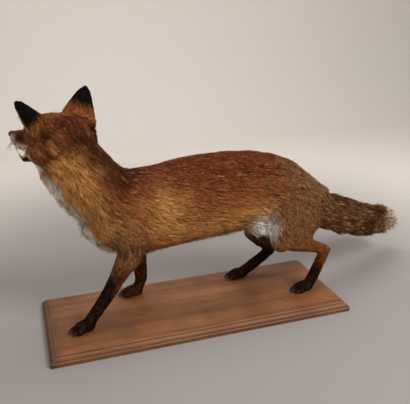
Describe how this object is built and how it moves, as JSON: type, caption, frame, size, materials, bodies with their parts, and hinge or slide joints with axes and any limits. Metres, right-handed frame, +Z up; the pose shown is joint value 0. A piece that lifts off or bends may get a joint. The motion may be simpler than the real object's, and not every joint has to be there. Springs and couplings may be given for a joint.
{
  "type": "taxidermy red fox",
  "caption": "Life-size taxidermy red fox in mid-stride on a low moulded wooden board, its jaws parted and its head turned away over its right shoulder.",
  "frame": {"origin": "centre of the wooden board's underside", "axes": "+X along the board from the fox's fore end to its tail, +Y from its left side to its right side, +Z up"},
  "size_m": [1.0331, 0.2941, 0.5356],
  "materials": {
    "stained_wood": "waxed, worn at the edges",
    "ginger_coat": "short dense fur",
    "grizzled_coat": "short dense fur with pale tips",
    "dark_coat": "short flat fur",
    "pale_coat": "soft fur",
    "nose_leather": "pebbled, slightly glossy",
    "glass_eye": "polished",
    "tooth_ivory": "old ivory, browner at the gum",
    "claw_horn": "worn horn",
    "painted_tongue": "varnished"
  },
  "bodies": {
    "root": {"base_board": "stained_wood", "trunk": "ginger_coat", "neck": "ginger_coat", "head": "ginger_coat", "lower_jaw": "pale_coat", "tongue": "painted_tongue", "ear_left": "dark_coat", "ear_right": "dark_coat", "eye_left": "glass_eye", "eye_right": "glass_eye", "nose": "nose_leather", "foreleg_left_upper": "ginger_coat", "foreleg_left_lower": "dark_coat", "forepaw_left": "dark_coat", "foreleg_right_upper": "ginger_coat", "foreleg_right_lower": "dark_coat", "forepaw_right": "dark_coat", "hindleg_left_thigh": "grizzled_coat", "hindleg_left_shank": "ginger_coat", "hindpaw_left": "dark_coat", "hindleg_right_thigh": "grizzled_coat", "hindleg_right_shank": "ginger_coat", "hindpaw_right": "dark_coat", "tail": "grizzled_coat", "tail_tip": "pale_coat"}
  },
  "joints": []
}
